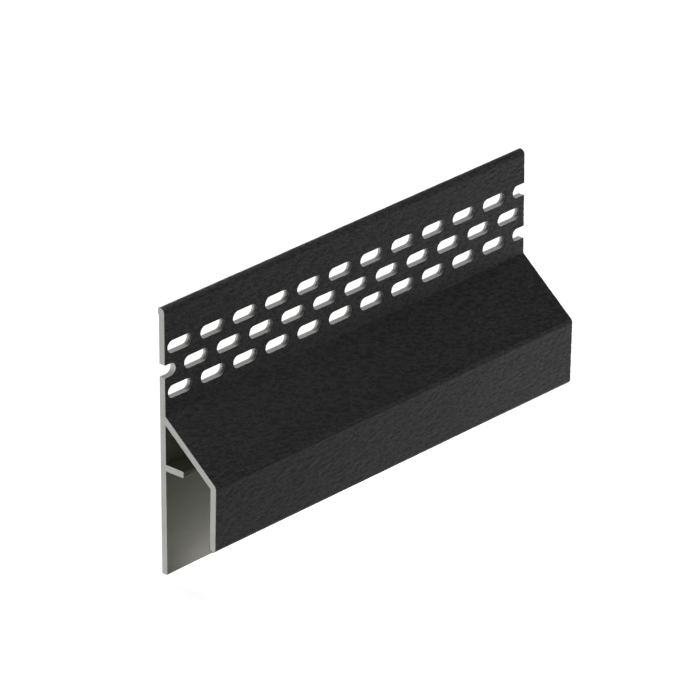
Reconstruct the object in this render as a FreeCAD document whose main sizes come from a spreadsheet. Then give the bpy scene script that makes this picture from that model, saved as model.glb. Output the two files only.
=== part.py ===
import FreeCAD, Part
import math
import os

import Sketcher

# Facade vent strip: a sawn length of extruded plastic profile with a thin wood-grain film laminated on.
# Frame: +X along the strip, -Y to the front, +Z up. The origin is the middle of the flat back face.

PROFILE_NODE = "profile_extrusion"
FILM_NODE = "woodgrain_film"

# Every driving size in millimetres, with what it measures.
SIZES = {
    "strip_length": (152.4, "sawn length of the strip"),
    "plate_height": (82.8, "height of the back plate"),
    "plate_wall": (2.0, "thickness of the back plate"),
    "top_front_radius": (1.3, "round on the plate's top front edge"),
    "top_back_radius": (0.4, "round on the plate's top back edge"),
    "top_flat": (0.1, "least flat left between the two rounds of the plate's top"),
    "bottom_radius": (0.3, "round on the plate's two bottom edges"),
    "hood_drop": (33.0, "from the plate's top down to where the hood leaves it"),
    "hood_reach": (19.4, "from the plate's front face out to the hood's bend"),
    "hood_fall": (15.95, "how far the hood falls between the plate and its bend"),
    "hood_wall": (2.05, "thickness of the hood"),
    "bend_radius": (1.6, "outside radius of the hood's bend"),
    "bend_inner_radius": (0.4, "inside radius of the hood's bend"),
    "flange_drop": (19.45, "from the bend down to where the flange's end turns round"),
    "flange_lean": (0.5, "how far the flange's bottom leans in towards the plate"),
    "rib_drop": (48.0, "from the plate's top down to the top of the rib"),
    "rib_length": (6.85, "how far the rib stands out of the plate"),
    "rib_wall": (2.0, "thickness of the rib"),
    "rib_tip_radius": (0.35, "round on the two edges of the rib's tip"),
    "film_wall": (0.2, "thickness of the film"),
    "film_back_lap": (2.0, "how far the film laps down the plate's back"),
    "film_inner_lap": (1.4, "how far the film laps up the inside of the flange"),
    "slot_length": (9.9, "length of a slot over its round ends"),
    "slot_width": (3.95, "width of a slot"),
    "slot_pitch": (13.3, "from slot to slot along a row"),
    "first_slot": (6.06, "from the left end to the first centre of the outer rows"),
    "top_row_drop": (12.3, "from the plate's top down to the top row of slots"),
    "row_pitch": (6.9, "from one row of slots to the next"),
}

# The first slot centre from the left end; the middle row starts half a pitch before the outer ones.
OUTER_START = "sizes.first_slot"
MIDDLE_START = "sizes.first_slot - sizes.slot_pitch / 2"

# The plate's top has room for its front round only beside the back one and a little flat.
TOP_FRONT_ROOM = "sizes.plate_wall - sizes.top_back_radius - sizes.top_flat"
TOP_FRONT_RADIUS = f"min(sizes.top_front_radius; {TOP_FRONT_ROOM})"

# Where a constraint holds a line or an arc. A sketch numbers these points by their place in the list.
POINTS = ["edge", "start", "end", "centre"]
_, START, END, CENTRE = POINTS
ORIGIN = "origin"
UPRIGHT_AXIS = "upright axis"
ZERO = (ORIGIN, START)

SAME_PLACE = 1e-3


def make_sheet(doc):
    """One row for each size: its name, its value under that name as alias, and its meaning."""
    sheet = doc.addObject("Spreadsheet::Sheet", "sizes")
    for row, (name, (value, meaning)) in enumerate(SIZES.items(), 1):
        sheet.set(f"A{row}", name)
        sheet.set(f"B{row}", str(value))
        sheet.setAlias(f"B{row}", name)
        sheet.set(f"C{row}", meaning)
    doc.recompute()
    return sheet


def new_body(doc, node):
    """A body whose label names its node and its file; both pieces are drawn where they sit."""
    body = doc.addObject("PartDesign::Body", node)
    body.Label = node
    body.Placement = FreeCAD.Placement()
    return body


def origin_feature(body, role):
    """One of the body's own origin planes or axes."""
    return next(item for item in body.Origin.OriginFeatures if item.Role == role)


class Drawing:
    """A sketch in which lines and arcs have names, and dimensions are formulas of the sheet's sizes."""

    def __init__(self, body, name, plane):
        self.sketch = body.newObject("Sketcher::SketchObject", name)
        self.sketch.AttachmentSupport = (origin_feature(body, plane), [""])
        self.sketch.MapMode = "FlatFace"
        self.number = {ORIGIN: -1, UPRIGHT_AXIS: -2}

    def line(self, name, start, end):
        edge = Part.LineSegment(FreeCAD.Vector(*start, 0), FreeCAD.Vector(*end, 0))
        self.number[name] = self.sketch.addGeometry(edge, False)

    def half_circle(self, name, centre, radius, start_angle):
        """Half a circle, drawn anticlockwise from start_angle."""
        circle = Part.Circle(FreeCAD.Vector(*centre, 0), FreeCAD.Vector(0, 0, 1), radius)
        arc = Part.ArcOfCircle(circle, start_angle, start_angle + math.pi)
        self.number[name] = self.sketch.addGeometry(arc, False)

    def numbers(self, *places):
        """The sketch's own numbers for names of whole lines and for (name, point) pairs."""
        found = []
        for place in places:
            if isinstance(place, str):
                found.append(self.number[place])
            else:
                name, point = place
                found += [self.number[name], POINTS.index(point)]
        return found

    def hold(self, kind, *places):
        self.sketch.addConstraint(Sketcher.Constraint(kind, *self.numbers(*places)))

    def hold_each(self, kind, *names):
        for name in names:
            self.hold(kind, name)

    def join(self, *names):
        """Joins each line's end to the start of the next; a loop names its first line again at the end."""
        for first, second in zip(names, names[1:]):
            smooth = "round" in first or "round" in second
            self.hold("Tangent" if smooth else "Coincident", (first, END), (second, START))

    def size(self, kind, *places, formula):
        """A dimension between these places, bound to a formula."""
        value = float(self.sketch.evalExpression(formula))
        constraint = Sketcher.Constraint(kind, *self.numbers(*places), value)
        place = self.sketch.addConstraint(constraint)
        self.sketch.setExpression(f"Constraints[{place}]", formula)

    def corner(self, name):
        """Where a line starts, as (y, z) in a section."""
        point = self.sketch.getPoint(*self.numbers((name, START)))
        return point.x, point.y


def outline_corners(sheet):
    """Sharp corners of the outline under the film, as (y, z), from the back over the top to the flange."""
    top = sheet.plate_height / 2
    front = -sheet.plate_wall
    bend = (front - sheet.hood_reach, top - sheet.hood_drop - sheet.hood_fall)
    end_front = (bend[0] + sheet.flange_lean, bend[1] - sheet.flange_drop)
    return {
        "lap": (0, top - sheet.film_back_lap),
        "top_back": (0, top),
        "top_front": (front, top),
        "leave": (front, top - sheet.hood_drop),
        "bend": bend,
        "end_front": end_front,
        "end_back": (end_front[0] + sheet.hood_wall, end_front[1]),
    }


def size_covered_lines(drawing, names):
    """Dimensions of the outline under the film, for its lines in the order of the corners."""
    lap, top, front, slope, flange, end = names
    drawing.size("DistanceY", (lap, START), (lap, END), formula="sizes.film_back_lap")
    drawing.size("DistanceX", (top, END), (top, START), formula="sizes.plate_wall")
    drawing.size("DistanceY", (front, END), (front, START), formula="sizes.hood_drop")
    drawing.size("DistanceX", (slope, END), (slope, START), formula="sizes.hood_reach")
    drawing.size("DistanceY", (slope, END), (slope, START), formula="sizes.hood_fall")
    drawing.size("DistanceX", (flange, START), (flange, END), formula="sizes.flange_lean")
    drawing.size("DistanceY", (flange, END), (flange, START), formula="sizes.flange_drop")
    drawing.size("Radius", end, formula="sizes.hood_wall / 2")


def draw_profile_section(body, sheet):
    """The die's opening: back plate, hood with its round end, and the rib inside it."""
    at = outline_corners(sheet)
    front, top = at["top_front"]
    bottom = -sheet.plate_height / 2
    wall = sheet.hood_wall
    inner_bend = (at["bend"][0] + wall, at["bend"][1] - wall / 2)
    apex = (front, at["leave"][1] - wall)
    rib_top = top - sheet.rib_drop
    rib_under = rib_top - sheet.rib_wall
    rib_tip = front - sheet.rib_length
    end_middle = (at["end_front"][0] + wall / 2, at["end_front"][1])

    section = Drawing(body, "die_section", "YZ_Plane")
    section.line("back", (0, bottom), at["lap"])
    section.line("back_under_film", at["lap"], at["top_back"])
    section.line("top", at["top_back"], at["top_front"])
    section.line("front", at["top_front"], at["leave"])
    section.line("slope", at["leave"], at["bend"])
    section.line("flange", at["bend"], at["end_front"])
    section.half_circle("round_end", end_middle, wall / 2, math.pi)
    section.line("flange_inside", at["end_back"], inner_bend)
    section.line("slope_inside", inner_bend, apex)
    section.line("front_over_rib", apex, (front, rib_top))
    section.line("rib_top", (front, rib_top), (rib_tip, rib_top))
    section.line("rib_tip", (rib_tip, rib_top), (rib_tip, rib_under))
    section.line("rib_under", (rib_tip, rib_under), (front, rib_under))
    section.line("front_under_rib", (front, rib_under), (front, bottom))
    section.line("bottom", (front, bottom), (0, bottom))

    section.join("back", "back_under_film", "top", "front", "slope", "flange", "round_end")
    section.join("round_end", "flange_inside", "slope_inside", "front_over_rib", "rib_top")
    section.join("rib_top", "rib_tip", "rib_under", "front_under_rib", "bottom", "back")
    section.hold_each("Vertical", "back", "back_under_film", "front")
    section.hold_each("Vertical", "front_over_rib", "rib_tip", "front_under_rib")
    section.hold_each("Horizontal", "top", "rib_top", "rib_under", "bottom")
    section.hold("Symmetric", ("back", START), ("top", START), ZERO)
    section.hold("Parallel", "flange", "flange_inside")
    section.hold("Parallel", "slope", "slope_inside")
    section.hold("PointOnObject", ("front_over_rib", START), "front")
    section.hold("PointOnObject", ("front_under_rib", START), "front")

    section.size("DistanceY", ("back", START), ("top", START), formula="sizes.plate_height")
    size_covered_lines(section, ["back_under_film", "top", "front", "slope", "flange", "round_end"])
    section.size("Distance", ("slope", START), "slope_inside", formula="sizes.hood_wall")
    section.size("DistanceY", ("rib_top", START), ("top", END), formula="sizes.rib_drop")
    section.size("DistanceX", ("rib_top", END), ("rib_top", START), formula="sizes.rib_length")
    section.size("DistanceY", ("rib_tip", END), ("rib_tip", START), formula="sizes.rib_wall")
    return section


def draw_film_section(body, sheet):
    """The film's own section: the covered outline, and the same outline one film thickness further out."""
    at = outline_corners(sheet)
    skin = sheet.film_wall
    radius = sheet.hood_wall / 2
    out = {name: (y - skin, z + skin) for name, (y, z) in at.items()}
    out["lap"] = (at["lap"][0] + skin, at["lap"][1])
    out["top_back"] = (at["top_back"][0] + skin, at["top_back"][1] + skin)
    out["end_front"] = (at["end_front"][0] - skin, at["end_front"][1])
    out["end_back"] = (at["end_back"][0] + skin, at["end_back"][1])
    inside_edge = (at["end_back"][0], at["end_back"][1] + sheet.film_inner_lap)
    inside_edge_out = (inside_edge[0] + skin, inside_edge[1])
    end_middle = (at["end_front"][0] + radius, at["end_front"][1])

    section = Drawing(body, "film_section", "YZ_Plane")
    section.line("lap", at["lap"], at["top_back"])
    section.line("top", at["top_back"], at["top_front"])
    section.line("front", at["top_front"], at["leave"])
    section.line("slope", at["leave"], at["bend"])
    section.line("flange", at["bend"], at["end_front"])
    section.half_circle("round_end", end_middle, radius, math.pi)
    section.line("inside_lap", at["end_back"], inside_edge)
    section.line("inside_edge", inside_edge, inside_edge_out)
    section.line("outer_inside_lap", inside_edge_out, out["end_back"])
    section.half_circle("outer_round_end", end_middle, radius + skin, math.pi)
    section.line("outer_flange", out["end_front"], out["bend"])
    section.line("outer_slope", out["bend"], out["leave"])
    section.line("outer_front", out["leave"], out["top_front"])
    section.line("outer_top", out["top_front"], out["top_back"])
    section.line("outer_lap", out["top_back"], out["lap"])
    section.line("back_edge", out["lap"], at["lap"])

    section.join("back_edge", "lap", "top", "front", "slope", "flange", "round_end")
    section.join("round_end", "inside_lap", "inside_edge", "outer_inside_lap")
    section.hold("Tangent", ("outer_inside_lap", END), ("outer_round_end", END))
    section.hold("Tangent", ("outer_round_end", START), ("outer_flange", START))
    section.join("outer_flange", "outer_slope", "outer_front", "outer_top", "outer_lap", "back_edge")
    section.hold_each("Vertical", "lap", "front", "outer_front", "outer_lap")
    section.hold_each("Horizontal", "top", "outer_top", "back_edge")
    section.hold("PointOnObject", ("top", START), UPRIGHT_AXIS)
    section.hold("Parallel", "flange", "inside_lap")
    section.hold("Parallel", "flange", "outer_flange")
    section.hold("Parallel", "flange", "outer_inside_lap")
    section.hold("Parallel", "slope", "outer_slope")
    section.hold("Perpendicular", "inside_lap", "inside_edge")
    section.hold("Coincident", ("round_end", CENTRE), ("outer_round_end", CENTRE))

    section.size("DistanceY", ZERO, ("top", START), formula="sizes.plate_height / 2")
    size_covered_lines(section, ["lap", "top", "front", "slope", "flange", "round_end"])
    section.size("Distance", "inside_lap", formula="sizes.film_inner_lap")
    section.size("DistanceX", ("top", START), ("outer_lap", START), formula="sizes.film_wall")
    section.size("DistanceY", ("top", START), ("outer_lap", START), formula="sizes.film_wall")
    section.size("DistanceX", ("outer_front", END), ("front", START), formula="sizes.film_wall")
    section.size("Distance", ("slope", START), "outer_slope", formula="sizes.film_wall")
    section.size("Radius", "outer_round_end", formula="sizes.hood_wall / 2 + sizes.film_wall")
    return section


def draw_slot(drawing, sheet, name, start, row):
    """One slot with round ends: start is its centre from the left end, row counts down from the top."""
    radius = sheet.slot_width / 2
    reach = (sheet.slot_length - sheet.slot_width) / 2
    middle = float(sheet.evalExpression(start)) - sheet.strip_length / 2
    height = sheet.plate_height / 2 - sheet.top_row_drop - row * sheet.row_pitch
    left, right = middle - reach, middle + reach
    left_round, right_round = f"{name}_left_round", f"{name}_right_round"
    lower, upper = f"{name}_lower", f"{name}_upper"

    drawing.half_circle(left_round, (left, height), radius, math.pi / 2)
    drawing.line(lower, (left, height - radius), (right, height - radius))
    drawing.half_circle(right_round, (right, height), radius, -math.pi / 2)
    drawing.line(upper, (right, height + radius), (left, height + radius))
    drawing.join(left_round, lower, right_round, upper, left_round)
    drawing.hold_each("Horizontal", lower, upper)

    straight = "(sizes.slot_length - sizes.slot_width)"
    to_middle = f"sizes.strip_length / 2 - ({start}) + {straight} / 2"
    to_row = f"sizes.plate_height / 2 - sizes.top_row_drop - {row} * sizes.row_pitch"
    drawing.size("Radius", left_round, formula="sizes.slot_width / 2")
    drawing.size("DistanceX", lower, formula=straight)
    drawing.size("DistanceX", (left_round, CENTRE), ZERO, formula=to_middle)
    drawing.size("DistanceY", ZERO, (left_round, CENTRE), formula=to_row)


def long_edges(shape, *corners):
    """Names of the edges that run the strip's whole length through these corners of its section."""
    names = []
    for number, edge in enumerate(shape.Edges, 1):
        middle = edge.CenterOfMass
        for y, z in corners:
            if math.hypot(middle.y - y, middle.z - z) < SAME_PLACE:
                names.append(f"Edge{number}")
    assert len(names) == len(corners), "a rounded edge was not found"
    return names


def round_edges(doc, body, name, corners, formula):
    """Rounds the long edges at these corners of the section."""
    base = body.Tip
    fillet = body.newObject("PartDesign::Fillet", name)
    fillet.Base = (base, long_edges(base.Shape, *corners))
    fillet.Refine = False
    fillet.setExpression("Radius", formula)
    doc.recompute()


def extrude(doc, body, section, name):
    """Pushes the section out to both sides of the middle, over the strip's length."""
    pad = body.newObject("PartDesign::Pad", name)
    pad.Profile = section.sketch
    pad.SideType = "Symmetric"
    pad.Refine = False
    pad.setExpression("Length", "sizes.strip_length")
    doc.recompute()


def punch_row(doc, body, drawing, start):
    """Cuts the drawn slots through the plate and repeats them along the strip as far as its right end."""
    whole = body.Shape.Volume
    pocket = body.newObject("PartDesign::Pocket", f"{drawing.sketch.Name}_punch")
    pocket.Profile = drawing.sketch
    pocket.Type = "ThroughAll"
    pocket.SideType = "Symmetric"
    pocket.Refine = False
    doc.recompute()
    assert pocket.Shape.Volume < whole, "the slots must cut the plate"

    row = body.newObject("PartDesign::LinearPattern", f"{drawing.sketch.Name}_row")
    row.Originals = [pocket]
    row.Direction = (origin_feature(body, "X_Axis"), [""])
    row.Mode = "Spacing"
    row.Refine = False
    row.setExpression("Offset", "sizes.slot_pitch")
    room = f"(sizes.strip_length - ({start}) + sizes.slot_length / 2)"
    row.setExpression("Occurrences", f"floor({room} / sizes.slot_pitch) + 1")
    body.Tip = row
    doc.recompute()


def punch_slots(doc, body, sheet):
    """Three rows of slots; the middle row lies half a pitch to the left of the other two."""
    outer = Drawing(body, f"{body.Label}_outer_slots", "XZ_Plane")
    draw_slot(outer, sheet, "top_row", OUTER_START, 0)
    draw_slot(outer, sheet, "low_row", OUTER_START, 2)
    punch_row(doc, body, outer, OUTER_START)
    middle = Drawing(body, f"{body.Label}_middle_slots", "XZ_Plane")
    draw_slot(middle, sheet, "middle_row", MIDDLE_START, 1)
    punch_row(doc, body, middle, MIDDLE_START)


def make_profile(doc, sheet):
    """The grey extrusion, with its slots punched from the front."""
    body = new_body(doc, PROFILE_NODE)
    section = draw_profile_section(body, sheet)
    extrude(doc, body, section, "extrusion")
    at = section.corner
    round_edges(doc, body, "top_back_round", [at("top")], "sizes.top_back_radius")
    round_edges(doc, body, "top_front_round", [at("front")], TOP_FRONT_RADIUS)
    round_edges(doc, body, "bottom_rounds", [at("bottom"), at("back")], "sizes.bottom_radius")
    round_edges(doc, body, "bend_round", [at("flange")], "sizes.bend_radius")
    round_edges(doc, body, "bend_inner_round", [at("slope_inside")], "sizes.bend_inner_radius")
    round_edges(doc, body, "rib_rounds", [at("rib_tip"), at("rib_under")], "sizes.rib_tip_radius")
    punch_slots(doc, body, sheet)
    return body


def make_film(doc, sheet):
    """The film on the front, lapped over the plate's top and round the flange's end, and punched too."""
    body = new_body(doc, FILM_NODE)
    section = draw_film_section(body, sheet)
    extrude(doc, body, section, "lamination")
    at = section.corner
    rounds = {
        "top_back": ("top", "outer_lap", "sizes.top_back_radius"),
        "top_front": ("front", "outer_top", TOP_FRONT_RADIUS),
        "bend": ("flange", "outer_slope", "sizes.bend_radius"),
    }
    for name, (inner, outer, radius) in rounds.items():
        round_edges(doc, body, f"film_{name}_under", [at(inner)], radius)
        round_edges(doc, body, f"film_{name}_over", [at(outer)], f"{radius} + sizes.film_wall")
    punch_slots(doc, body, sheet)
    return body


def check_document(doc):
    """Stops if anything in the document failed to build."""
    for item in doc.Objects:
        failed = {"Invalid", "Error"} & set(item.State)
        assert not failed, f"{item.Name} did not build"


def write_parts(bodies):
    os.makedirs("parts", exist_ok=True)
    for body in bodies:
        shape = body.Shape
        assert not shape.isNull() and shape.isValid(), f"{body.Label} is not a valid shape"
        assert len(shape.Solids) == 1, f"{body.Label} is not one piece"
    for body in bodies:
        body.Shape.exportStep(f"parts/{body.Label}.step")
        box = body.Shape.BoundBox
        size = f"{box.XLength:.2f} x {box.YLength:.2f} x {box.ZLength:.2f} mm"
        print(f"{body.Label}: {size}, {body.Shape.Volume:.1f} mm3")


def main():
    doc = FreeCAD.newDocument("facade_vent_strip")
    sheet = make_sheet(doc)
    bodies = [make_profile(doc, sheet), make_film(doc, sheet)]
    doc.recompute()
    check_document(doc)
    write_parts(bodies)


main()
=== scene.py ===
# %% [markdown]
# Facade vent strip: a short sawn length of vent profile from the foot of a ventilated facade.
# The real thing is one extrusion of grey PVC with a thin, nearly black wood-grain film laminated on
# its visible side. Three rows of slots are punched through both, so air can rise behind the cladding.
# The solids come from the CAD model. This lesson adds what the CAD leaves plain: the film's embossed
# grain as real relief, the two plastics as procedural materials, and the light of a small studio.

# %% Load the CAD model
import math
from bisect import bisect_left

import bpy
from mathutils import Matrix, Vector, noise
from mathutils.geometry import delaunay_2d_cdt


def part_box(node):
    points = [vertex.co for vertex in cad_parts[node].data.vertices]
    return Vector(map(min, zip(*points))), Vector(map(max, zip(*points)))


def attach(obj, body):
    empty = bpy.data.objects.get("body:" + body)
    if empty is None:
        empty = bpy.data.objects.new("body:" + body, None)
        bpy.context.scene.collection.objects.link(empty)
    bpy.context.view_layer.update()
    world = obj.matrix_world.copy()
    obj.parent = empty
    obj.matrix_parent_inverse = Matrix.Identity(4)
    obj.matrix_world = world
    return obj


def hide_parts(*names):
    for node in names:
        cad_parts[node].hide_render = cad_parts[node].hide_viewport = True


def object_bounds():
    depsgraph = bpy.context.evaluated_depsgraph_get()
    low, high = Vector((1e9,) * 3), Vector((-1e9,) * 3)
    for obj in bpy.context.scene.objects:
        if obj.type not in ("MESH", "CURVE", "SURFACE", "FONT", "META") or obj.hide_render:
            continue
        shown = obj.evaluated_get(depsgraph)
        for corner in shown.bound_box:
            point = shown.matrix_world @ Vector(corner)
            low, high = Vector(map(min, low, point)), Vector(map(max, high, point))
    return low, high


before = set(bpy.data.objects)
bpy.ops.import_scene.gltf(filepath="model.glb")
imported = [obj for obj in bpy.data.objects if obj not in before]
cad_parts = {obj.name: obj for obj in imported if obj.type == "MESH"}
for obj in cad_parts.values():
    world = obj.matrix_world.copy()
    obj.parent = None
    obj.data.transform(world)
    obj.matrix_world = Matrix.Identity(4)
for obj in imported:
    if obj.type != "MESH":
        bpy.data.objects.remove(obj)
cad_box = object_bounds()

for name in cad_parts:
    low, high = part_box(name)
    size = ", ".join(f"{1000 * side:.2f}" for side in high - low)
    print(f"{name}: {size} mm along X, Y and Z")

# %% [markdown]
# ## The film as a flat sheet
# On the line that makes these profiles the film arrives as a flat web and rollers fold it round the
# profile. It starts 2 mm down the back, goes over the top and down the front, over the hood and its
# flange, and round the flange's lower end. We build it the same way. First the section's corners, as
# the profile under the film has them, with the radius of each bend. All lengths here are millimetres.

# %% The film's sizes
MM = 0.001
HALF_LENGTH = 76.2
FILM_WALL = 0.2
INSIDE_LAP = 1.4
END_RADIUS = 1.025

# Corner (y, z) and bend radius, from the lap on the back to the lower end of the hood's flange.
FOLD_CORNERS = [
    ((0.0, 39.4), 0.0),
    ((0.0, 41.4), 0.4),
    ((-2.0, 41.4), 1.3),
    ((-2.0, 8.4), 0.0),
    ((-21.4, -7.55), 1.6),
    ((-20.9, -27.0), 0.0),
]
ACROSS_STEP = 0.29
ALONG_STEP = 0.62
BEND_STEP = 0.27

# %% [markdown]
# ## Stations across the sheet
# A station is a place across the film: the point on the profile that it lies on, and the direction
# in which the film's thickness stands off. On a flat that direction is the face's normal, in a bend
# it turns, and in the sharp inner corner below the slots it is the mitre of the two faces. A curve
# object with a bevel could sweep the section too, but then we couldn't say where a slot falls.

# %% Walk round the section
def turned(angle):
    """The unit vector at this angle, in the plane of the section."""
    return Vector((math.cos(angle), math.sin(angle)))


def straight_stations(start, end, normal):
    """Stations along a flat, without its last point."""
    count = math.ceil((end - start).length / ACROSS_STEP)
    return [(start.lerp(end, i / count), normal) for i in range(count)]


def bend_stations(centre, radius, first, last):
    """Stations round a bend, from one normal's angle to the other, without its last point."""
    count = math.ceil((last - first) * (radius + FILM_WALL) / BEND_STEP)
    angles = [first + (last - first) * i / count for i in range(count)]
    return [(centre + radius * turned(angle), turned(angle)) for angle in angles]


def heading(start, end):
    """The angle of the outward normal of the flat from start to end."""
    way = end - start
    return math.atan2(way.y, way.x) - math.pi / 2


def walk_section():
    """All stations of the film, and the numbers of those where a flat ends or a bend goes on."""
    corners = [Vector(corner) for corner, _ in FOLD_CORNERS]
    radii = [radius for _, radius in FOLD_CORNERS]
    normals = [heading(*pair) for pair in zip(corners, corners[1:])]
    stations, creases = [], [0]
    here = corners[0]
    for number, corner in enumerate(corners[1:-1], 1):
        before, after, radius = normals[number - 1], normals[number], radii[number]
        turn = (after - before + math.pi) % (2 * math.pi) - math.pi
        along = (corner - here).normalized()
        stop = corner - along * radius * math.tan(abs(turn) / 2)
        stations += straight_stations(here, stop, turned(before))
        if radius:
            creases.append(len(stations))
            centre = stop - radius * turned(before)
            round_part = bend_stations(centre, radius, before, before + turn)
            creases += range(len(stations), len(stations) + len(round_part) + 1)
            stations += round_part
            here = centre + radius * turned(before + turn)
        else:
            mitre = (turned(before) + turned(after)) / (1 + math.cos(turn))
            creases.append(len(stations))
            stations.append((corner, mitre))
            here = corner + (corners[number + 1] - corner).normalized() * ACROSS_STEP
    end_normal = turned(normals[-1])
    stations += straight_stations(here, corners[-1], end_normal)
    middle = corners[-1] - END_RADIUS * end_normal
    round_part = bend_stations(middle, END_RADIUS, normals[-1], normals[-1] + math.pi)
    creases += range(len(stations), len(stations) + len(round_part) + 1)
    stations += round_part
    inside = middle - END_RADIUS * end_normal
    lap_end = inside + (corners[-2] - corners[-1]).normalized() * INSIDE_LAP
    stations += straight_stations(inside, lap_end, -end_normal)
    stations.append((lap_end, -end_normal))
    creases.append(len(stations) - 1)
    return stations, sorted(set(creases))


stations, creases = walk_section()
outside = [point + FILM_WALL * stand for point, stand in stations]
across = [0.0]
for one, two in zip(outside, outside[1:]):
    across.append(across[-1] + (two - one).length)
print(f"{len(stations)} stations; the sheet is {across[-1]:.2f} mm wide before it is folded")

# %% [markdown]
# ## The slots in the sheet
# The punch makes three rows of slots with round ends. The middle row is shifted by half a pitch, and
# the saw that cut the sample met some slots half way, so they are open notches at the ends. In the
# flat sheet a slot is a plain outline of points; where it passes an end, it stops there.

# %% Slot outlines
SLOT_LENGTH = 9.9
SLOT_WIDTH = 3.95
SLOT_PITCH = 13.3
ROWS = [(29.1, -70.14), (22.2, -76.79), (15.3, -70.14)]
ROUND_POINTS = 22
FRONT_TOP = next(number for number, (_, stand) in enumerate(stations) if stand.x < -0.99999)

slot_radius = SLOT_WIDTH / 2
slot_reach = SLOT_LENGTH / 2 - slot_radius


def place_across(height):
    """Where a height on the plate's front face falls across the flat sheet."""
    return across[FRONT_TOP] + stations[FRONT_TOP][0].y - height


slot_centres = []
for height, first in ROWS:
    x = first
    while x - SLOT_LENGTH / 2 < HALF_LENGTH:
        slot_centres.append(Vector((x, place_across(height))))
        x += SLOT_PITCH


def depth_in_slot(spot, centre):
    """How far a spot lies inside a slot; it is negative outside."""
    from_middle = max(abs(spot.x - centre.x) - slot_reach, 0)
    return slot_radius - math.hypot(from_middle, spot.y - centre.y)


def slot_outline(centre):
    """The points round a slot, in order, as far as the sheet has them, and whether it is whole."""
    points = []
    for side in (1, -1):
        for i in range(ROUND_POINTS + 1):
            angle = -math.pi / 2 + math.pi * i / ROUND_POINTS
            corner = Vector((side * slot_reach, 0)) + slot_radius * side * turned(angle)
            points.append(centre + corner)
    whole = all(abs(point.x) < HALF_LENGTH for point in points)
    if whole:
        return points, True
    end = math.copysign(HALF_LENGTH, centre.x)
    inner_side = -math.copysign(1, centre.x)
    kept = [point for point in points if abs(point.x) < HALF_LENGTH]
    kept = [point for point in kept if (point.x - centre.x) * inner_side >= 0]
    kept.sort(key=lambda point: math.atan2(point.y - centre.y, (point.x - centre.x) * inner_side))
    first = Vector((end, centre.y - slot_radius))
    last = Vector((end, centre.y + slot_radius))
    kept = [point for point in kept if abs(point.x - end) > 0.01]
    return [first, *kept, last], False


print(f"{len(slot_centres)} slots, {sum(slot_outline(c)[1] for c in slot_centres)} of them whole")

# %% [markdown]
# ## The embossed grain
# An engraved roller presses the grain into the warm film: short wavy furrows that run nearly along
# the strip, with calmer fields between them. A bump in the material could fake it, but then the mesh
# itself stays smooth, so we press it into the sheet. Noise that is stretched along the strip and
# slanted a little gives the furrows, and a slower noise bends them and lets them fade in and out.
# Where the film is pulled round a bend the grain is flatter. The furrows only go inward, so the film
# doesn't outgrow its CAD solid.

# %% Furrow depth
FURROW_DEPTH = 0.088
FURROW_WIDTH = 0.62
FURROW_LENGTH = 1.9
FINE_LENGTH = 0.9
FINE_SHARE = 0.45
GRAIN_SLANT = 0.2
# How far the grain sways, and how long the waves are along the strip and across it.
WIDE_SWAY = (1.3, 9, 5)
TIGHT_SWAY = (0.4, 2.4, 1.7)
CALM_FIELD = (17, 9)
CALM_SHARE = 0.4
BEND_REACH = 0.9
BEND_SHARE = 0.35
crease_places = [across[crease] for crease in creases]


def smoothstep(low, high, value):
    """0 below low, 1 above high, and a soft step between them."""
    t = min(max((value - low) / (high - low), 0), 1)
    return t * t * (3 - 2 * t)


def ripple(x, v, length, width, layer):
    """Smooth noise from -1 to 1, with waves of this length along the strip and width across it."""
    return noise.noise((x / length, v / width, layer))


def furrow(x, v):
    """How deep the roller pressed at a place of the flat sheet, from 0 to 1."""
    wide, *wide_waves = WIDE_SWAY
    tight, *tight_waves = TIGHT_SWAY
    sway = wide * ripple(x, v, *wide_waves, 3.1) + tight * ripple(x, v, *tight_waves, 6.6)
    w = (v - GRAIN_SLANT * x + sway) / FURROW_WIDTH
    dashes = ripple(x, w, FURROW_LENGTH, 1, 0.4) + FINE_SHARE * ripple(x, w * 1.6, FINE_LENGTH, 1, 5.2)
    calm = 0.5 + 0.5 * ripple(x, v, *CALM_FIELD, 12.5)
    strength = 1 - CALM_SHARE + CALM_SHARE * calm
    from_bend = min(abs(v - place) for place in crease_places)
    flattened = BEND_SHARE + (1 - BEND_SHARE) * smoothstep(0, BEND_REACH, from_bend)
    return smoothstep(-0.15, 0.35, dashes) * strength * flattened


# %% [markdown]
# ## Triangles for the flat sheet
# The sheet gets a grid of points that is fine enough for the furrows, plus the points of the slot
# outlines. A constrained Delaunay triangulation joins them all into well-shaped triangles and keeps
# each outline as edges. Cutting the slots with a Boolean would leave long slivers round every hole,
# and the light would show them.

# %% Triangulate the sheet
CLEAR_OF_SLOT = 0.13


def triangulate(points, edges):
    """Delaunay triangles of these flat points that keep the edges and leave the slots open."""
    spots, _, faces, origins, _, _ = delaunay_2d_cdt(points, edges, [], 0, 1e-6)
    assert len(spots) == len(points), "the triangulation moved or added a point"
    first = [origin[0] for origin in origins]
    kept = []
    for face in faces:
        corners = [points[first[i]] for i in face]
        middle = sum(corners, Vector((0, 0))) / 3
        if all(depth_in_slot(middle, centre) < 0 for centre in near_slots(middle)):
            kept.append([first[i] for i in face])
    return kept


def near_slots(spot):
    """The slots whose outline could hold this spot."""
    in_row = [centre for centre in slot_centres if abs(centre.y - spot.y) < SLOT_WIDTH]
    return [centre for centre in in_row if abs(centre.x - spot.x) < SLOT_LENGTH]


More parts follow.
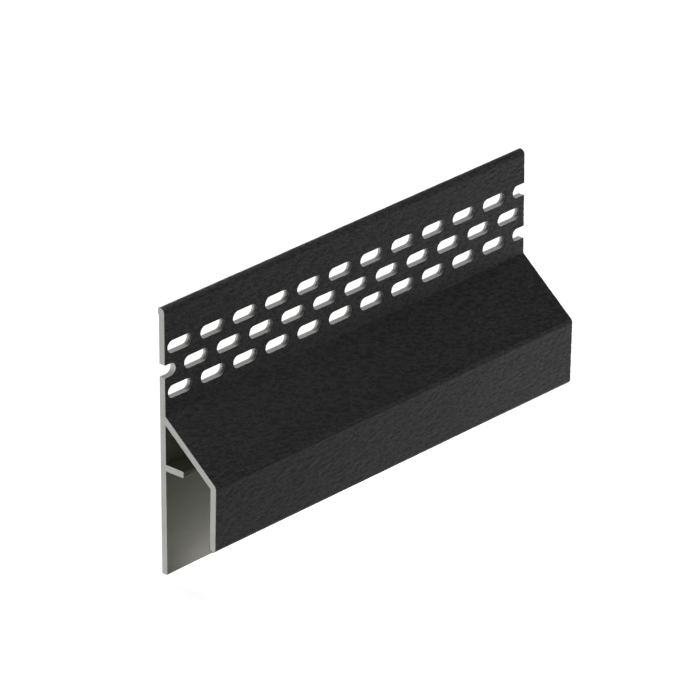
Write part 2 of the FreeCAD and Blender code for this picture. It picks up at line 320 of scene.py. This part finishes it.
columns = math.ceil(2 * HALF_LENGTH / ALONG_STEP)
points, edges, station_of = [], [], []
for number, v in enumerate(across):
    for i in range(columns + 1):
        spot = Vector((-HALF_LENGTH + 2 * HALF_LENGTH * i / columns, v))
        if all(depth_in_slot(spot, centre) < -CLEAR_OF_SLOT for centre in near_slots(spot)):
            points.append(spot)
            station_of.append(number)
grid_count = len(points)
for centre in slot_centres:
    outline, whole = slot_outline(centre)
    start = len(points)
    points += outline
    pairs = len(outline) if whole else len(outline) - 1
    edges += [(start + i, start + (i + 1) % len(outline)) for i in range(pairs)]
outer_faces = triangulate(points, edges)
print(f"{len(points)} points and {len(outer_faces)} triangles in the flat sheet")

# %% [markdown]
# ## Folding the sheet round the profile
# Every flat point now gets its place in space. The number across the sheet gives the stations before
# and after it, and the stand-off says how far above the profile it lies. The upper side stands off by
# the film's thickness less the furrow, and the under side by nothing. The under side needs no grid: it
# is triangulated again from the sheet's outline and from the lines along which the film bends.
# Quads join the two along every open edge, so the film is a closed solid.

# %% Fold, close and show the film
SHARP_ANGLE = math.radians(38)
SAME_PLACE = 0.001


def folded(spot, stand_off):
    """The place in space of a point of the flat sheet, in metres."""
    after = min(max(bisect_left(across, spot.y - SAME_PLACE), 1), len(across) - 1)
    share = (spot.y - across[after - 1]) / (across[after] - across[after - 1])
    point = stations[after - 1][0].lerp(stations[after][0], share)
    stand = stations[after - 1][1].lerp(stations[after][1], share)
    y, z = point + stand_off * stand
    return Vector((spot.x, y, z)) * MM


def open_edges(faces):
    """The directed edges that only one triangle has."""
    found = {(face[i], face[i - 2]) for face in faces for i in range(3)}
    return [(a, b) for a, b in found if (b, a) not in found]


rim = sorted(open_edges(outer_faces))
rim_points = sorted({corner for edge in rim for corner in edge})
under_number = {corner: i for i, corner in enumerate(rim_points)}
grid_rim = [i for i in rim_points if i < grid_count]
left_of = {station_of[i]: i for i in grid_rim if points[i].x < SAME_PLACE - HALF_LENGTH}
right_of = {station_of[i]: i for i in grid_rim if points[i].x > HALF_LENGTH - SAME_PLACE}
under_edges = [(under_number[a], under_number[b]) for a, b in rim]
under_edges += [(under_number[left_of[crease]], under_number[right_of[crease]]) for crease in creases]
under_faces = triangulate([points[i] for i in rim_points], under_edges)

vertices = [folded(spot, FILM_WALL - FURROW_DEPTH * furrow(spot.x, spot.y)) for spot in points]
under_start = len(vertices)
vertices += [folded(points[i], 0) for i in rim_points]
faces = [tuple(reversed(face)) for face in outer_faces]
faces += [tuple(under_start + corner for corner in face) for face in under_faces]
faces += [(a, b, under_start + under_number[b], under_start + under_number[a]) for a, b in rim]

film_mesh = bpy.data.meshes.new("grained_film")
film_mesh.from_pydata(vertices, [], faces)
film_mesh.validate()
film_mesh.shade_smooth()
film_mesh.set_sharp_from_angle(angle=SHARP_ANGLE)
film = bpy.data.objects.new("grained_film", film_mesh)
bpy.context.scene.collection.objects.link(film)
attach(film, "root")
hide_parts("woodgrain_film")
triangles = len(outer_faces) + len(under_faces) + 2 * len(rim)
print(f"the film has {triangles} triangles, {2 * len(rim)} of them round its {len(rim)} open edges")

# %% [markdown]
# ## A small language for materials
# Blender's materials are graphs of nodes. Written node by node, a formula of five terms fills a page,
# so we wrap an output socket in a class whose plus, minus and times add the Math nodes. Everything
# else, such as a noise or a colour mix, comes from one method that takes the node's type, its
# settings and the values or links of its sockets.

# %% Wires and finishes
class Wire:
    """One output of a shader node. Arithmetic with wires and numbers adds Math nodes."""

    def __init__(self, finish, socket):
        self.finish = finish
        self.socket = socket

    def maths(self, operation, *values):
        return self.finish.node("ShaderNodeMath", {"operation": operation}, dict(enumerate(values)))

    def __add__(self, other):
        return self.maths("ADD", self, other)

    def __sub__(self, other):
        return self.maths("SUBTRACT", self, other)

    def __rsub__(self, other):
        return self.maths("SUBTRACT", other, self)

    def __mul__(self, other):
        return self.maths("MULTIPLY", self, other)

    def __truediv__(self, other):
        return self.maths("DIVIDE", self, other)

    __radd__ = __add__
    __rmul__ = __mul__

    def size(self):
        return self.maths("ABSOLUTE", self)


class Finish:
    """The nodes of a material or of the sky: node() adds one and gives back an output as a wire."""

    def __init__(self, owner):
        self.owner = owner
        owner.use_nodes = True
        self.tree = owner.node_tree
        self.tree.nodes.clear()

    def node(self, kind, settings=None, values=None, output=0):
        made = self.tree.nodes.new(kind)
        for name, setting in (settings or {}).items():
            setattr(made, name, setting)
        for place, value in (values or {}).items():
            if isinstance(value, Wire):
                self.tree.links.new(value.socket, made.inputs[place])
            else:
                made.inputs[place].default_value = value
        return Wire(self, made.outputs[output]) if made.outputs else None

    def millimetres(self):
        """Where a point is on the part, in millimetres."""
        place = self.node("ShaderNodeTexCoord", output="Object")
        return self.node("ShaderNodeVectorMath", {"operation": "SCALE"}, {0: place, "Scale": 1 / MM})

    def part_of(self, vector, axis):
        return self.node("ShaderNodeSeparateXYZ", values={0: vector}, output=axis)

    def grain(self, lengths, detail=2.0, rough=0.5, shift=(0, 0, 0), slant=0.0, wave=0.0):
        """Noise from 0 to 1 whose lumps are about this long along X, Y and Z, in millimetres.

        A slant turns the lumps a little away from X, and a wave bends them.
        """
        place = self.millimetres()
        if slant:
            rise = slant * self.part_of(place, "X")
            lean = self.node("ShaderNodeCombineXYZ", values={"Y": rise, "Z": rise})
            place = self.node("ShaderNodeVectorMath", {"operation": "ADD"}, {0: place, 1: lean})
        squeeze = tuple(1 / length for length in lengths)
        values = {0: place, 1: squeeze, 2: shift}
        place = self.node("ShaderNodeVectorMath", {"operation": "MULTIPLY_ADD"}, values)
        values = {"Vector": place, "Scale": 1.0, "Detail": detail, "Roughness": rough}
        values["Distortion"] = wave
        return self.node("ShaderNodeTexNoise", values=values)

    def step(self, value, low, high):
        """0 below low and 1 above high, with a soft step between them; low may be the larger."""
        settings = {"interpolation_type": "SMOOTHSTEP"}
        return self.node("ShaderNodeMapRange", settings, {0: value, 1: low, 2: high})

    def blend(self, share, first, second):
        """A mix of two colours."""
        values = {0: share, 6: first, 7: second}
        return self.node("ShaderNodeMix", {"data_type": "RGBA"}, values, output=2)

    def bump(self, height, depth, below=None):
        """A relief that is this many millimetres deep where height goes from 0 to 1."""
        values = {"Height": height, "Distance": depth * MM, "Strength": 1.0}
        if below:
            values["Normal"] = below
        return self.node("ShaderNodeBump", values=values)

    def surface(self, **values):
        """The plastic's own shader, on the material's output."""
        named = {name.replace("_", " "): value for name, value in values.items()}
        shader = self.node("ShaderNodeBsdfPrincipled", values=named)
        self.node("ShaderNodeOutputMaterial", values={"Surface": shader})
        return self.owner


def colour(red, green, blue):
    return (red, green, blue, 1.0)


# %% [markdown]
# ## Grey PVC
# The extrusion is rigid PVC, coloured grey right through and left as it came out of the die. Its long
# faces carry faint lines that the die drew along the strip. They are painted darker and a little more
# olive than a fresh cut: painted shade for the dim, warm light inside the pocket and the chamber. The
# saw left fine arcs on the two ends, and the punch left upright tears in the slot walls. The back part
# of each slot wall is painted paler: a painted highlight for the light that comes through from behind.
# One material can do all three, because each belongs to faces that look in a different direction.

# %% The extrusion's material
PVC_DARK = colour(0.352, 0.353, 0.338)
PVC_LIGHT = colour(0.440, 0.441, 0.424)
# Painted highlight: the back part of each slot wall is paler, for the light that comes through the
# slots from behind.
PVC_PAINTED_HIGHLIGHT = colour(0.500, 0.501, 0.480)
# Painted shade: the long faces are darker and more olive than the cut, for the dim, warm light in the
# pocket and the chamber.
SHADED_SKIN_DARK = colour(0.262, 0.260, 0.214)
SHADED_SKIN_LIGHT = colour(0.328, 0.326, 0.273)
SAW_CENTRE = (0.0, 95.0, -140.0)
SAW_LINE = 0.5
DIE_LINE = 0.5
DIE_BAND = 2.6
SLOTS_HIGHEST = 32.0
SLOTS_LOWEST = 12.5

pvc = Finish(bpy.data.materials.new("grey_pvc"))
place = pvc.millimetres()
facing = pvc.node("ShaderNodeNewGeometry", output="Normal")
sawn = pvc.step(pvc.part_of(facing, "X").size(), 0.9, 0.98)
height = pvc.part_of(place, "Z")
beside_slots = pvc.step(height, SLOTS_LOWEST - 0.3, SLOTS_LOWEST) * pvc.step(
    height, SLOTS_HIGHEST + 0.3, SLOTS_HIGHEST
)
inside_ends = pvc.step(pvc.part_of(place, "X").size(), HALF_LENGTH - 0.01, HALF_LENGTH - 0.03)
punched = pvc.step(pvc.part_of(facing, "Y").size(), 0.6, 0.3) * beside_slots * inside_ends

die_lines = 0.5 * pvc.grain((160, DIE_LINE, DIE_LINE), detail=3, rough=0.6)
die_lines = die_lines + 0.5 * pvc.grain((400, DIE_BAND, DIE_BAND), detail=2, shift=(3, 3, 8))
to_saw = {0: place, 1: SAW_CENTRE}
from_saw = pvc.node("ShaderNodeVectorMath", {"operation": "DISTANCE"}, to_saw, output=1)
saw_values = {"W": from_saw / SAW_LINE, "Scale": 1.0, "Detail": 3.0}
saw_lines = pvc.node("ShaderNodeTexNoise", {"noise_dimensions": "1D"}, saw_values)
tears = pvc.grain((0.28, 5, 0.28), detail=3, rough=0.6, shift=(4, 1, 9))
mottle = pvc.grain((9, 5, 5), detail=4, shift=(7, 2, 5))
fine = pvc.grain((0.2, 0.2, 0.2), detail=2, shift=(1, 8, 3))

skin = (1 - sawn) * (1 - punched)
lines = sawn * saw_lines + punched * tears + skin * die_lines
# Painted highlight: paler towards the back of each slot wall, where light comes through from behind.
painted_back_highlight = punched * pvc.step(pvc.part_of(place, "Y"), -0.9, -0.3)
tone = 0.45 * mottle + 0.4 * lines + 0.15 * fine
paler = pvc.step(tone, 0.3, 0.7)
# Painted shade on the long faces: their darker, more olive colours.
body = pvc.blend(skin, pvc.blend(paler, PVC_DARK, PVC_LIGHT), pvc.blend(paler, SHADED_SKIN_DARK, SHADED_SKIN_LIGHT))
body = pvc.blend(0.35 * painted_back_highlight, body, PVC_PAINTED_HIGHLIGHT)
relief = pvc.bump(lines, 0.03)
relief = pvc.bump(fine, 0.006, relief)
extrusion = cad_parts["profile_extrusion"]
grey_pvc = pvc.surface(
    Base_Color=body,
    Roughness=0.5 + 0.12 * mottle + 0.08 * sawn + 0.1 * punched,
    Specular_IOR_Level=0.45,
    Normal=relief,
)
for slot in extrusion.material_slots:
    slot.material = grey_pvc
print(f"grey PVC: {len(pvc.tree.nodes)} nodes on {extrusion.name}")

# %% [markdown]
# ## The film's material
# The furrows are real, so the material only adds what is too fine for the mesh: dark flecks about
# two millimetres long that follow the grain, pores of half a millimetre between them, and a slow
# change of tone, as the printed film has. Nearly black plastic shows little colour. What we see is
# mostly its soft gloss, so the roughness matters most.

# %% The film's material
FILM_DARK = colour(0.0002, 0.0003, 0.0002)
FILM_LIGHT = colour(0.0290, 0.0306, 0.0297)
FLECK = (1.9, 0.8, 0.8)
PORE = (0.55, 0.3, 0.3)
CLOUD = (26, 12, 12)

foil = Finish(bpy.data.materials.new("woodgrain_film"))
flecks = foil.grain(FLECK, detail=2, rough=0.55, shift=(2, 6, 1), slant=GRAIN_SLANT, wave=0.7)
pores = foil.grain(PORE, detail=2, shift=(5, 5, 2), slant=GRAIN_SLANT)
clouds = foil.grain(CLOUD, detail=2, shift=(9, 3, 4))
tone = 0.66 * foil.step(flecks, 0.43, 0.54) + 0.34 * foil.step(pores, 0.42, 0.62)
tone = tone * (0.7 + 0.6 * clouds)
relief = foil.bump(flecks, 0.06)
relief = foil.bump(pores, 0.008, relief)
film_mesh.materials.append(
    foil.surface(
        Base_Color=foil.blend(tone, FILM_DARK, FILM_LIGHT),
        Roughness=0.46 - 0.10 * tone,
        Specular_IOR_Level=0.22,
        Normal=relief,
    )
)
print(f"film: {len(foil.tree.nodes)} nodes")

# %% [markdown]
# ## Camera
# The sample was photographed from its left front corner, from 25 degrees above, through a long lens.
# The camera looks at a point near the strip's middle from that direction and that far away.

# %% Place the camera
LOOK_AT = Vector((0.00023, -0.0022, 0.002844))
AZIMUTH = math.radians(-47.522)
ELEVATION = math.radians(24.96)
DISTANCE = 1.8905
LENS = 337.17

back = Vector((
    math.sin(AZIMUTH) * math.cos(ELEVATION),
    -math.cos(AZIMUTH) * math.cos(ELEVATION),
    math.sin(ELEVATION),
))
lens = bpy.data.cameras.new("camera")
lens.lens = LENS
lens.sensor_width = 36
lens.clip_start = 0.05
lens.clip_end = 20
camera = bpy.data.objects.new("camera", lens)
camera.location = LOOK_AT + DISTANCE * back
camera.rotation_mode = "QUATERNION"
camera.rotation_quaternion = (-back).to_track_quat("-Z", "Y")
bpy.context.scene.collection.objects.link(camera)
bpy.context.scene.camera = camera
print(f"camera at {tuple(round(c, 3) for c in camera.location)} m")

# %% [markdown]
# ## Floor, lamps and background
# A large pale floor carries the strip. The camera has to see it as the white of a studio sweep, so it
# gives off some light of its own, but only to the rays of the camera and of reflections. The rest is
# ordinary matt grey, which still takes the strip's soft shadow. Seen from below it is left out.
# In the gloss of the film the floor gets brighter towards the back and the right, where the lamps are.
# The patch of table under the strip is lit from inside, so the pocket isn't a black hole.
# The sky over the studio is dim, so the hood's slope mirrors less light than the plate. Only the
# camera sees it as white too.

# %% Floor
FLOOR_HALF = 4.0
FLOOR_COLOUR = colour(0.3, 0.3, 0.3)
FLOOR_GLOW = 0.92
MIRRORED_GLOW = 1.11
DIMMEST_GLOW = 0.2
BRIGHTEST_GLOW = 1.2
# How much the mirrored glow grows in a metre along X and along Y.
GLOW_RISE = (1.4, 4.0)
# The lit patch: its middle in Y, and where it ends, softly, from the middle in X and in Y.
TABLE_LIGHT = 0.95
PATCH_Y = -0.011
PATCH_END_X = (0.08, 0.06)
PATCH_END_Y = (0.012, 0.009)

floor_height = cad_box[0].z
floor_mesh = bpy.data.meshes.new("floor")
square = [(-1, -1), (1, -1), (1, 1), (-1, 1)]
corners = [(FLOOR_HALF * x, FLOOR_HALF * y, floor_height) for x, y in square]
floor_mesh.from_pydata(corners, [], [(0, 1, 2, 3)])
floor = bpy.data.objects.new("floor", floor_mesh)
bpy.context.scene.collection.objects.link(floor)

sweep = Finish(bpy.data.materials.new("studio_floor"))
seen = sweep.node("ShaderNodeLightPath", output="Is Camera Ray")
mirrored = sweep.node("ShaderNodeLightPath", output="Is Glossy Ray")
through = sweep.node("ShaderNodeLightPath", output="Is Transmission Ray")
matt = sweep.node("ShaderNodeBsdfDiffuse", values={"Color": FLOOR_COLOUR})
glow = sweep.node("ShaderNodeEmission", values={"Strength": FLOOR_GLOW * seen})
place = sweep.node("ShaderNodeTexCoord", output="Object")
rise = GLOW_RISE[0] * sweep.part_of(place, "X") + GLOW_RISE[1] * sweep.part_of(place, "Y")
limits = {"Min": DIMMEST_GLOW, "Max": BRIGHTEST_GLOW}
level = sweep.node("ShaderNodeClamp", values={0: MIRRORED_GLOW + rise, **limits})
mirror_glow = sweep.node("ShaderNodeEmission", values={"Color": level, "Strength": mirrored + through})
under_x = sweep.step(sweep.part_of(place, "X").size(), *PATCH_END_X)
under_y = sweep.step((sweep.part_of(place, "Y") - PATCH_Y).size(), *PATCH_END_Y)
under_strip = under_x * under_y
lit_table = sweep.node("ShaderNodeEmission", values={"Color": under_strip, "Strength": TABLE_LIGHT})
matt = sweep.node("ShaderNodeAddShader", values={0: matt, 1: lit_table})
white = sweep.node("ShaderNodeAddShader", values={0: matt, 1: glow})
white = sweep.node("ShaderNodeAddShader", values={0: white, 1: mirror_glow})
clear = sweep.node("ShaderNodeBsdfTransparent")
from_below = sweep.node("ShaderNodeNewGeometry", output="Backfacing")
floor_shader = sweep.node("ShaderNodeMixShader", values={0: from_below, 1: white, 2: clear})
sweep.node("ShaderNodeOutputMaterial", values={"Surface": floor_shader})
floor_mesh.materials.append(sweep.owner)

# %% Lamps and sky
SKY = 0.04
# Name, azimuth and elevation in degrees, distance and side in metres, and power in watts.
LAMPS = [
    ("left_softbox", -94.4, 0, 1.3, 0.12, 14.1),
    ("behind_softbox", 158, 20, 1.3, 0.85, 15.0),
    ("right_softbox", 105, 20, 1.3, 0.6, 1.4),
    ("front_right_softbox", 50, 20.5, 1.3, 0.85, 3.1),
    ("overhead_light", 75, 70, 0.4, 0.25, 0.44),
]


def direction(azimuth, elevation):
    """The unit vector towards a lamp: azimuth 0 is in front of the part, 90 is at its right end."""
    a = math.radians(azimuth)
    e = math.radians(elevation)
    return Vector((math.sin(a) * math.cos(e), -math.cos(a) * math.cos(e), math.sin(e)))


world = bpy.data.worlds.new("studio")
bpy.context.scene.world = world
sky = Finish(world)
seen = sky.node("ShaderNodeLightPath", output="Is Camera Ray")
through = sky.node("ShaderNodeLightPath", output="Is Transmission Ray")
level = seen.maths("MAXIMUM", seen + through, SKY)
background = sky.node("ShaderNodeBackground", values={"Color": colour(1, 1, 1), "Strength": level})
sky.node("ShaderNodeOutputWorld", values={"Surface": background})
for name, azimuth, elevation, distance, side, power in LAMPS:
    lamp = bpy.data.lights.new(name, "AREA")
    lamp.size = side
    lamp.energy = power
    holder = bpy.data.objects.new(name, lamp)
    holder.location = direction(azimuth, elevation) * distance
    holder.rotation_mode = "QUATERNION"
    holder.rotation_quaternion = (-holder.location).to_track_quat("-Z", "Y")
    bpy.context.scene.collection.objects.link(holder)
bpy.context.scene.view_settings.view_transform = "Standard"
print(f"{len(LAMPS)} lamps")
